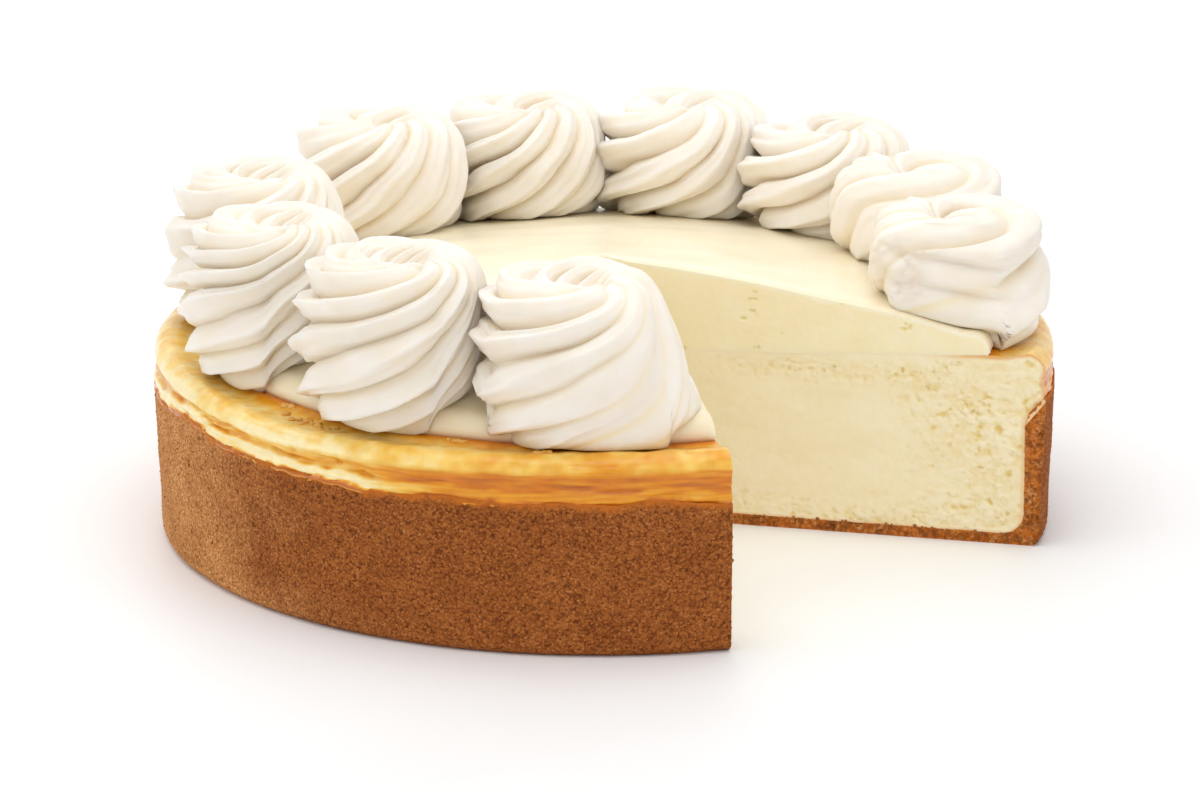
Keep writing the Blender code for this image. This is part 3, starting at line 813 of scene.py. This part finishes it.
    # The ledge turns darker and browner towards the cream: partly painted shade under the rosettes, partly browning.
    browning_and_painted_light = browning_and_painted_light + on_ledge * (0.32 - 0.11 * smooth(-16, -30, turnA) * seen + 0.03 * smooth(-14, -4, turnA) * seen + 0.40 * (1 - smooth(111.5, 118.5, ledge_r)) + 0.16 * noise(P, 9.0, 114) + 0.10 * noise(P, 3.0, 119))
    browning_and_painted_light = np.clip(browning_and_painted_light, 0, 1)
    cut_value = np.zeros(R.shape)
    quads = np.concatenate([grid_faces(len(rows), columns, flip=True), inner_edge(len(rows), columns)])
    points3 = P.reshape(-1, 3)
    extra, faces, base = [], [], len(points3)
    values_cut, values_browning_and_light, values_stain = [cut_value.reshape(-1)], [browning_and_painted_light.reshape(-1)], [cut_value.reshape(-1)]
    for column in (0, columns - 1):
        a = az[column]
        outline = P[:, column]
        radial = np.array([math.sin(math.radians(a)), -math.cos(math.radians(a)), 0.0])
        loop = np.stack([outline @ radial, outline[:, 2]], -1)[::-1]
        r_max = loop[:, 0].max()
        flat, tris, far = cut_sheet(loop, 0.56, 84)
        RR, ZZ = flat[:, 0], flat[:, 1]
        upper = np.interp(RR, loop[::-1][:n_top, 0], loop[::-1][:n_top, 1])
        sheet = on_ring(np.full(len(flat), a), RR, ZZ)
        normal = np.array([math.cos(math.radians(a)), math.sin(math.radians(a)), 0.0])
        if column == 0:
            normal = -normal
        q2 = np.stack([RR, 0 * RR + 7.0 * (column > 0), ZZ], -1)
        curdy = np.clip(
            smooth(14, 3, ZZ) + smooth(74, 116, RR) + smooth(6.0, 0.0, np.abs(ZZ - 47.5)) * 0.7 * smooth(20, 50, RR) + 0.06, 0, 1
        ) * (0.6 + 0.4 * smooth(-0.3, 0.4, noise(q2, 16.0, 121)))
        rel = 0.62 * layered(q2, (3.0, 3.0, 2.0), 122, 3, 0.75) + 0.16 * noise(q2, (8.0, 1.0, 1.8), 125)
        furrow = smooth(0.10, 0.0, np.abs(noise(q2, (6.0, 1.0, 3.2), 129) - 0.1)) * smooth(0.0, 0.5, noise(q2, 9.0, 130))
        holes = smooth(0.55, 0.85, noise(q2, 2.4, 126)) * 0.7 + smooth(0.6, 0.85, noise(q2, 1.2, 127)) * 0.35
        push = (rel - holes - 0.55 * furrow) * curdy - 0.16 * curdy
        push = np.minimum(push, 0.22) * np.clip(far / 0.9, 0, 1)
        sheet = sheet + push[:, None] * normal
        faces.append((tris[:, ::-1] if column == 0 else tris) + base)
        base += len(sheet)
        extra.append(sheet)
        values_cut.append(np.ones(len(flat)))
        # Painted shade: the deeper a hollow of the cut face, the yellower it is painted.
        values_browning_and_light.append(np.clip(-push * 1.5 - 0.06, 0, 1))
        below = upper - ZZ
        skin_line = smooth(1.5, 0.2, below + 0.3 * noise(q2, 5.0, 128)) * smooth(92, 112, RR)
        beside = smooth(1.6, 0.0, inner_wall(np.clip(ZZ, 4, 43), 0.0) - RR) * (ZZ < 44)
        over = smooth(0.7, 0.0, ZZ - CRUST_BASE) * 0.5
        outer_skin = smooth(1.2, 0.1, far) * (ZZ > 43) * (RR > 121)
        stain = np.maximum.reduce([0.85 * skin_line, 0.45 * beside, over, 0.7 * outer_skin])
        values_stain.append(np.clip(stain, 0, 1))
    obj = make_object("cheesecake_skin", np.concatenate([points3, *extra]), quads, material, np.concatenate(faces))
    point_values(obj, "cut", np.concatenate(values_cut))
    point_values(obj, "browning_and_painted_light", np.concatenate(values_browning_and_light))
    point_values(obj, "stain", np.concatenate(values_stain))
    return obj


# ---- banana cream ----------------------------------------------------------------
def make_cream(material):
    columns = 560
    az = np.linspace(SPAN[0], SPAN[1], columns)
    radii = np.concatenate([[0.4], np.linspace(4, 100, 64), np.linspace(101, 110, 10), [111.0, 111.8, 112.3]])
    rows = [(np.full(columns, r), cream_top(r) + 0 * az) for r in radii]
    n_top = len(rows)
    for r in (111.6, 100.0, 86.0, 60.0, 30.0, 0.4):
        rows.append((np.full(columns, r), cake_top(r) - 0.15 + 0 * az))
    R = np.array([r for r, _ in rows])
    Z = np.array([z for _, z in rows])
    A = np.broadcast_to(az, R.shape)
    P = on_ring(A, R, Z)
    row = np.arange(len(rows))[:, None]
    on_top = (row < n_top).astype(float)
    fade = smooth(0.0, 16.0, R)
    sweep = np.stack([P[..., 0], P[..., 1], 0 * Z], -1)
    dz = 0.55 * noise(sweep, 34.0, 131) + 0.25 * noise(sweep, (30.0, 12.0, 1.0), 132) - 0.55
    P[..., 2] += dz * on_top * fade * (1 - smooth(104, 111, R))
    # the cut's upper edge is softly rounded
    off = np.minimum(A - SPAN[0], SPAN[1] - A) * np.pi / 180 * R
    P[..., 2] -= on_top * 0.8 * np.exp(-np.clip(off, 0, 50) / 0.8) * smooth(2.0, 8.0, R)
    quads = np.concatenate([grid_faces(len(rows), columns, flip=True), inner_edge(len(rows), columns)])
    points3 = P.reshape(-1, 3)
    extra, faces, base = [], [], len(points3)
    values, edges, painted_pit_shade = [np.zeros(len(points3))], [np.zeros(len(points3))], [np.zeros(len(points3))]
    for column in (0, columns - 1):
        a = az[column]
        radial = np.array([math.sin(math.radians(a)), -math.cos(math.radians(a)), 0.0])
        outline = P[:, column]
        loop = np.stack([outline @ radial, outline[:, 2]], -1)[::-1]
        flat, tris, far = cut_sheet(loop, 0.5, 86)
        RR, ZZ = flat[:, 0], flat[:, 1]
        upper = np.interp(RR, loop[::-1][:n_top, 0], loop[::-1][:n_top, 1])
        sheet = on_ring(np.full(len(flat), a), RR, ZZ)
        normal = np.array([math.cos(math.radians(a)), math.sin(math.radians(a)), 0.0])
        if column == 0:
            normal = -normal
        q2 = np.stack([RR, 0 * RR + 9.0 * (column > 0), ZZ], -1)
        holes = smooth(0.60, 0.82, noise(q2, (2.8, 1.0, 1.1), 141) + 0.25 * noise(q2, 0.8, 148)) * smooth(0.38, 0.6, noise(q2, 16.0, 142))
        rel = 0.09 * layered(q2, (7.0, 1.0, 3.0), 143, 3) + 0.04 * noise(q2, 1.2, 146)
        push = np.minimum(rel - 0.45 * holes - 0.1, 0.05) * np.clip(far / 0.9, 0, 1)
        sheet = sheet + push[:, None] * normal
        faces.append((tris[:, ::-1] if column == 0 else tris) + base)
        base += len(sheet)
        extra.append(sheet)
        values.append(np.ones(len(flat)))
        # Painted highlight: a near-white line just below the cut's upper edge.
        edges.append(smooth(1.6, 0.1, upper - ZZ + 0.4 * noise(q2, 6.0, 147)))
        # Painted shade: the pits of the cut face are tinted yellow.
        painted_pit_shade.append(np.clip(holes, 0, 1))
    obj = make_object("banana_cream_skin", np.concatenate([points3, *extra]), quads, material, np.concatenate(faces))
    point_values(obj, "pit", np.concatenate(painted_pit_shade))
    point_values(obj, "cut", np.concatenate(values))
    point_values(obj, "edge", np.concatenate(edges))
    return obj


# ---- rosettes --------------------------------------------------------------------
def middle(spec):
    a = math.radians(spec[0])
    return spec[1] * math.sin(a), -spec[1] * math.cos(a)


def pressed(distance, limit, soft):
    start = limit - soft
    return np.where(
        distance <= start, distance, limit - soft * np.exp(-(np.maximum(distance, start) - start) / soft)
    )


def warped(tau, at, pace):
    x = (tau - at + np.pi) % (2 * np.pi) - np.pi
    y = 2 * np.arctan2(pace * np.sin(x / 2), np.cos(x / 2))
    return at + y, (np.cos(x / 2) ** 2 + pace * pace * np.sin(x / 2) ** 2) / pace


def swirl(spec, beta, psi, crest, strength):
    radius, top, lean_x, lean_y, heading, relief, flap, flap_at, teeth, quick, roundness = spec[2:]
    cx, cy = middle(spec)
    degrees = np.degrees(psi)
    at = math.radians(heading)
    pace = (TURN_LOW + (TURN_HIGH - TURN_LOW) * smooth(-60, 40, degrees)) * quick
    around, rate = warped(beta + psi, at, pace)
    width = 2 * np.pi / teeth * radius / rate
    spread = width / np.hypot(width, RIDGE_PITCH)
    near = 0.5 + 0.5 * np.cos(around - at)
    spread = spread * (1 - 0.5 * near ** 3) * relief
    off = (around - math.radians(flap_at) + np.pi) % (2 * np.pi) - np.pi
    side = flap * np.exp(-((off / 0.85) ** 2))
    drawn = 30.0 * (flap >= 1.0) * smooth(25, -25, degrees)
    off = (around - np.radians(flap_at - 24.0 - drawn) + np.pi) % (2 * np.pi) - np.pi
    calm = flap * np.exp(-((off / 1.1) ** 2)) * (1 - 0.6 * smooth(50, 110, degrees))
    spread = spread * (1 - 0.93 * calm)
    tube = TUBE_SHARE * radius
    stand = radius * 0.8
    low = seat_height(cx + stand * np.cos(around), cy + stand * np.sin(around)) - 2.5
    half = (top - low) / 2
    outer = degrees <= 90
    share = power(np.cos(psi), np.where(degrees < 0, FOOT_POWER, SIDE_POWER + 0.36 * (roundness - 1.4)))
    rho_o = radius - tube + tube * share
    z_o = low + half + half * power(np.sin(psi), RISE_POWER)
    depth_o = RIDGE_DEPTH * (0.35 + 0.65 * smooth(-80, -30, degrees)) * (1 - 0.55 * smooth(35, 90, degrees))
    t = np.clip((degrees - 90) / (EYE_PSI - 90), 0, 1)
    rho_i = (radius - tube) * (1 - 0.95 * t)
    back = 0.5 - 0.5 * np.cos(around - math.radians(100.0))
    z_i = top - BOWL * smooth(0, 1, t) * (0.6 + 0.4 * back)
    depth_i = RIDGE_DEPTH * 0.45 * (1 - 0.5 * t)
    rho = np.where(outer, rho_o, rho_i)
    z = np.where(outer, z_o, z_i)
    depth = np.where(outer, depth_o, depth_i) * spread * (1 - crest) * strength
    depth = depth + 3.0 * calm * (0.5 - 0.5 * np.cos(3 * beta + 0.8)) ** 1.6 * smooth(-80, -40, degrees)
    nx = np.where(outer, np.cos(psi), -0.35 * np.sin(np.pi * t))
    nz = np.where(outer, np.sin(psi), 0.94)
    skirt = 0.34 * (1 - smooth(57, 90, z)) - 0.10 * smooth(80, 100, z)
    rho = rho * (1 + side * skirt) + side * 10 * (1 - smooth(-80, -20, degrees))
    rho = np.maximum(0.5, rho - depth * nx)
    z = z - depth * nz
    inward = smooth(40, EYE_PSI, degrees)
    x = cx + rho * np.cos(around) + lean_x * inward
    y = cy + rho * np.sin(around) + lean_y * inward
    limits = []
    for other in ROSETTES:
        if other is spec:
            continue
        ox, oy = middle(other)
        gap = math.hypot(ox - cx, oy - cy)
        if gap > 70:
            continue
        limits.append(((ox - cx) / gap, (oy - cy) / gap, cx, cy, gap * radius / (radius + other[2]) + 3.6, 6.0))
    a = math.radians(CUT_FROM)
    limits.append((math.cos(a), math.sin(a), 0.0, 0.0, -0.2, 1.2))
    b = math.radians(CUT_TO)
    limits.append((-math.cos(b), -math.sin(b), 0.0, 0.0, -0.2, 3.6))
    for ux, uy, from_x, from_y, limit, soft in limits:
        if (from_x, from_y) == (0.0, 0.0):
            near_cut = cx * ux + cy * uy
            if near_cut < -40 or near_cut > 0 or abs(cx * uy - cy * ux) < 60 or cx * (math.sin(a) + math.sin(b)) - cy * (math.cos(a) + math.cos(b)) < 0:
                continue
        along = (x - from_x) * ux + (y - from_y) * uy
        moved = pressed(along, limit, soft)
        x = x + (moved - along) * ux
        y = y + (moved - along) * uy
    out = np.hypot(x, y)
    held = pressed(out, RIM_LIMIT, 2.5)
    return np.stack([x * held / out, y * held / out, z], -1)


def seat_height(x, y):
    r = np.hypot(x, y)
    return np.where(r < CREAM_EDGE_R, cream_top(r), cake_top(r))


def folded_face(P, degrees):
    """Loops that lie level across the rosette beside the cut, with a torn part at their left."""
    b = math.radians(CUT_TO)
    nx, ny = -math.cos(b), -math.sin(b)
    along = P[..., 0] * nx + P[..., 1] * ny
    s = P[..., 0] * math.sin(b) - P[..., 1] * math.cos(b)
    z = P[..., 2]
    near = smooth(-17, -4, along) * (1 - smooth(60, 100, degrees))
    line = np.stack([s, 0 * s, z], -1)
    level = (z + 0.10 * (s - 101) + 2.2 * noise(line, (26.0, 1.0, 14.0), 161)) / 9.0
    t = level - np.floor(level)
    dent = np.where(t < 0.22, 1 - t / 0.22, ((t - 0.22) / 0.78) ** 3.0)
    push = 2.4 * dent * near * smooth(78, 88, s)
    torn = smooth(98, 88, s + 5 * noise(line, 9.0, 162)) * smooth(67, 72, z) * smooth(90, 82, z) * near
    push = push * (1 - 0.7 * torn) + torn * (0.5 + 0.8 * noise(line, 3.0, 163) + 0.6 * noise(line, 1.7, 164))
    push = np.maximum(push, 0.0) + 2.2 * smooth(-30, -72, degrees) * smooth(-17, -4, along)
    P = P.copy()
    P[..., 0] -= push * nx
    P[..., 1] -= push * ny
    return P


def make_rosette(index, material):
    spec = ROSETTES[index]
    teeth, roundness = spec[10], spec[12]
    per_tooth, rows = ((210 // teeth, 100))
    rng = np.random.RandomState(40 + index)
    widths = 1 + 0.30 * rng.uniform(-1, 1, teeth)
    edges = np.concatenate([[0], np.cumsum(widths / widths.sum())]) * 2 * np.pi
    strengths = 1 + 0.25 * rng.uniform(-1, 1, teeth + 1)
    strengths[-1] = strengths[0]
    beta, crest, strength, groove = [], [], [], []
    for k in range(teeth):
        for j in range(per_tooth):
            u = j / per_tooth
            beta.append(edges[k] + (edges[k + 1] - edges[k]) * u)
            crest.append(1 - (min(u, 1 - u) * 2) ** roundness)
            groove.append(math.cos(6 * math.pi * u))
            strength.append(strengths[k] * (1 - u) + strengths[k + 1] * u)
    columns = len(beta)
    psi = np.radians(np.linspace(FOOT_PSI, EYE_PSI, rows))
    B, Q = np.meshgrid(np.array(beta), psi)
    C = np.broadcast_to(np.array(crest), B.shape)
    S = np.broadcast_to(np.array(strength), B.shape)
    drift = np.stack([3 * np.cos(B), 3 * np.sin(B), Q * 1.6], -1)
    S = S * (1 + 0.38 * noise(drift, 1.1, 300 + index))
    C = C + 0.075 * np.array(groove) * (0.5 + 0.9 * np.clip(noise(drift, 0.9, 320 + index) + 0.4, 0, 1))
    P = swirl(spec, B, Q, C, S)
    # hand-piped unevenness
    P = P + 1.2 * np.stack([noise(P, 25.0, 260 + index), noise(P, 25.0, 280 + index), 0 * B], -1)
    out = np.hypot(P[..., 0], P[..., 1])
    P[..., :2] *= (pressed(out, RIM_LIMIT, 2.5) / out)[..., None]
    P = P + 0.45 * np.stack([noise(P, 11.0, 150 + index), noise(P, 11.0, 170 + index), 0.6 * noise(P, 11.0, 190 + index) - 0.6], -1)
    P = P + 0.10 * np.stack([noise(P, 2.2, 210 + index), noise(P, 2.2, 230 + index), noise(P, 2.2, 250 + index)], -1)
    if index in NUDGED:
        P[..., 0] += NUDGED[index]
    if index == len(ROSETTES) - 1:
        P = folded_face(P, np.degrees(Q))
    out = np.hypot(P[..., 0], P[..., 1])
    lower, upper = cake_top(out), cream_top(np.minimum(out, CREAM_EDGE_R))
    ground = lower + (upper - lower) * smooth(CREAM_EDGE_R + 1.2, CREAM_EDGE_R - 2.2, out) - 0.4
    P[..., 2] = np.clip(P[..., 2], ground, 101.95)
    # Painted shade: deeper in the valleys between ridges, stronger towards the foot, full at the foot's centre point
    # and some at the eye.
    painted_crease_shade = np.maximum(
        np.clip(1 - C, 0, 1) ** 2 * (0.4 + 0.6 * smooth(0, -70, np.degrees(Q))), 0.55 * smooth(-35, -78, np.degrees(Q))
    )
    eye = P[-1].mean(0)
    foot = P[0].mean(0)
    foot[2] = P[0][:, 2].mean()
    points = np.concatenate([P.reshape(-1, 3), eye[None], foot[None]])
    quads = grid_faces(rows, columns, closed=True)
    j = np.arange(columns)
    k = (j + 1) % columns
    last = (rows - 1) * columns
    tris = np.concatenate([
        np.stack([last + j, last + k, np.full(columns, rows * columns)], -1),
        np.stack([k, j, np.full(columns, rows * columns + 1)], -1),
    ])
    obj = make_object(f"whipped_rosette_{index + 1:02d}", points, quads, material, tris)
    point_values(obj, "painted_crease_shade", np.concatenate([painted_crease_shade.reshape(-1), [0.3, 1.0]]))
    return obj


# ---- crumbs ----------------------------------------------------------------------
def make_bits(name, material, places, sizes, seed, flat=1.0):
    """Small rough lumps: one joined mesh of squashed, dented balls."""
    rng = np.random.RandomState(seed)
    rings, sectors = 5, 8
    th = np.linspace(0, np.pi, rings)
    ph = np.linspace(0, 2 * np.pi, sectors, endpoint=False)
    unit = np.array([[math.sin(t) * math.cos(p), math.sin(t) * math.sin(p), math.cos(t)] for t in th[1:-1] for p in ph])
    unit = np.concatenate([unit, [[0, 0, 1]], [[0, 0, -1]]])
    n = len(unit)
    q = grid_faces(rings - 2, sectors, closed=True, flip=True)
    j = np.arange(sectors)
    k = (j + 1) % sectors
    last = (rings - 3) * sectors
    t = np.concatenate([
        np.stack([j, k, np.full(sectors, n - 2)], -1),
        np.stack([last + k, last + j, np.full(sectors, n - 1)], -1),
    ])
    points, quads, tris = [], [], []
    for i, (centre, size) in enumerate(zip(places, sizes)):
        shape = unit * (1 + 0.28 * rng.uniform(-1, 1, (n, 1))) * rng.uniform(0.6, 1.1, 3)
        turn = np.array(Euler(rng.uniform(0, 6.28, 3)).to_matrix())
        points.append(shape @ turn.T * size * (1, 1, flat) + centre)
        quads.append(q + i * n)
        tris.append(t + i * n)
    return make_object(name, np.concatenate(points), np.concatenate(quads), material, np.concatenate(tris))


def crumb_places():
    """Crumbs held on the crust's wall and along its cut edges."""
    rng = np.random.RandomState(7)
    places, sizes = [], []
    count = 800
    for _ in range(count):
        az = rng.uniform(*SPAN)
        z = rng.uniform(1.5, 43.0)
        size = rng.uniform(0.2, 0.42)
        r = float(outer_wall(z)) - 0.15
        places.append(on_ring(np.array(az), r, z))
        sizes.append(size)
    for _ in range(260):
        which = rng.randint(2)
        az = SPAN[0] if which == 0 else SPAN[1]
        along = rng.uniform(4, 122)
        z = rng.uniform(0.5, 3.4)
        size = rng.uniform(0.3, 0.75)
        z = max(z, size + 0.1)
        p = on_ring(np.array(az), along, z)
        places.append(p)
        sizes.append(size)
    for which in range(240):
        az = (SPAN[0] + 0.1, SPAN[1] - 0.1)[which % 2]
        z = rng.uniform(0.8, 35.0)
        if which < 90:
            r = float(outer_wall(z)) - 0.1 - abs(rng.normal()) * 0.5
        else:
            r = rng.uniform(float(inner_wall(min(z, 36.0))) + 0.4, float(outer_wall(z)) - 0.4)
        size = rng.uniform(0.25, 0.6)
        places.append(on_ring(np.array(az), min(r, 128.2), max(z, size + 0.1)))
        sizes.append(size)
    return np.array(places), np.array(sizes)


def cake_bit_places():
    """Torn bits of cake skin on the ledge and rim."""
    rng = np.random.RandomState(9)
    places, sizes = [], []
    for az, r, n, spread in ((-43.0, 118.0, 26, 4.0), (-20.5, 113.5, 9, 1.8), (-8.0, 121.0, 8, 1.5), (-50.0, 113.5, 8, 2.0)):
        for _ in range(n):
            a = az + rng.normal() * spread / 118 * 57.3
            rr = r + rng.normal() * spread * 0.28
            size = rng.uniform(0.5, 1.5)
            z = float(cake_top(rr)) - float(rim_drop(np.array(a))) * float(smooth(112, 121, rr)) - 0.45
            places.append(on_ring(np.array(a), rr, z))
            sizes.append(size)
    return np.array(places), np.array(sizes)


# ---- the scene -------------------------------------------------------------------
def light(name, place_at, size, energy, aim=(0, 0, 0.05), colour=(1, 1, 1), depth=None):
    data = bpy.data.lights.new(name, "AREA")
    data.shape = "RECTANGLE" if depth else "DISK"
    data.size = size
    if depth:
        data.size_y = depth
    data.energy = energy
    data.color = colour
    obj = bpy.data.objects.new(name, data)
    bpy.context.scene.collection.objects.link(obj)
    obj.location = place_at
    obj.rotation_euler = (Vector(aim) - Vector(place_at)).to_track_quat("-Z", "Y").to_euler()


def set_stage():
    scene = bpy.context.scene
    scene.view_settings.view_transform = "Standard"
    scene.view_settings.exposure = 0.0
    world = bpy.data.worlds.new("studio")
    scene.world = world
    world.use_nodes = True
    world.node_tree.nodes["Background"].inputs["Color"].default_value = (1, 1, 1, 1)
    world.node_tree.nodes["Background"].inputs["Strength"].default_value = 0.80
    light("overhead", (0.0, -0.10, 0.70), 0.6, 1.3)
    light("left", (-1.7, -0.3, 0.7), 0.7, 2.7)
    light("right", (1.5, -1.0, 0.6), 0.7, 2.0)
    light("back", (-0.7, 1.1, 1.3), 1.5, 5.0, depth=0.14)
    light("backdrop", (0.0, 2.0, 1.2), 1.2, 14.0, aim=(0, 2.4, 0))
    data = bpy.data.lights.new("rear", "SPOT")
    data.energy, data.spot_size, data.spot_blend, data.shadow_soft_size = 28.0, math.radians(11.0), 1.0, 0.3
    spot = bpy.data.objects.new("rear", data)
    scene.collection.objects.link(spot)
    spot.location = (0.0, -1.3, 1.3)
    spot.rotation_euler = (Vector((0.01, 0.13, 0.09)) - Vector((0.0, -1.3, 1.3))).to_track_quat("-Z", "Y").to_euler()
    # floor: one broad level sheet
    rows, cols = 24, 24
    y = np.linspace(-9000, 9000, rows)
    x = np.linspace(-9000, 9000, cols)
    X, Y = np.meshgrid(x, y)
    Z = 0.0 * X
    floor = make_object("floor", np.stack([X, Y, Z], -1), grid_faces(rows, cols), floor_material())
    camera = bpy.data.cameras.new("camera")
    camera.sensor_width = 36.0
    camera.lens = 209.43
    camera.clip_start, camera.clip_end = 0.1, 20.0
    obj = bpy.data.objects.new("camera", camera)
    scene.collection.objects.link(obj)
    pitch, roll, distance = math.radians(16.91), math.radians(-0.29), 2.0
    aim = Vector((-0.0013, 0.0, 0.0344))
    at = aim + Vector((0, -distance * math.cos(pitch), distance * math.sin(pitch)))
    obj.matrix_world = (
        Matrix.Translation(at)
        @ Euler((math.pi / 2 - pitch, 0, 0)).to_matrix().to_4x4()
        @ Matrix.Rotation(roll, 4, "Z")
    )
    scene.camera = obj


def main():
    set_stage()
    place(make_crust(crust_material()), "crumb_crust", slot="crumb_crust")
    place(make_cake(cake_material()), "cheesecake", slot="cheesecake")
    place(make_cream(banana_material()), "banana_cream", slot="banana_cream")
    cream = whipped_material()
    for index in range(len(ROSETTES)):
        place(make_rosette(index, cream), f"rosette_{index + 1:02d}", slot="whipped_cream")
    where, sizes = crumb_places()
    place(make_bits("loose_crumbs", crumb_material(), where, sizes, 17), slot="crumb_crust")
    where, sizes = cake_bit_places()
    place(make_bits("torn_cake_bits", bit_material(), where, sizes, 19, flat=0.55), slot="cheesecake")


main()
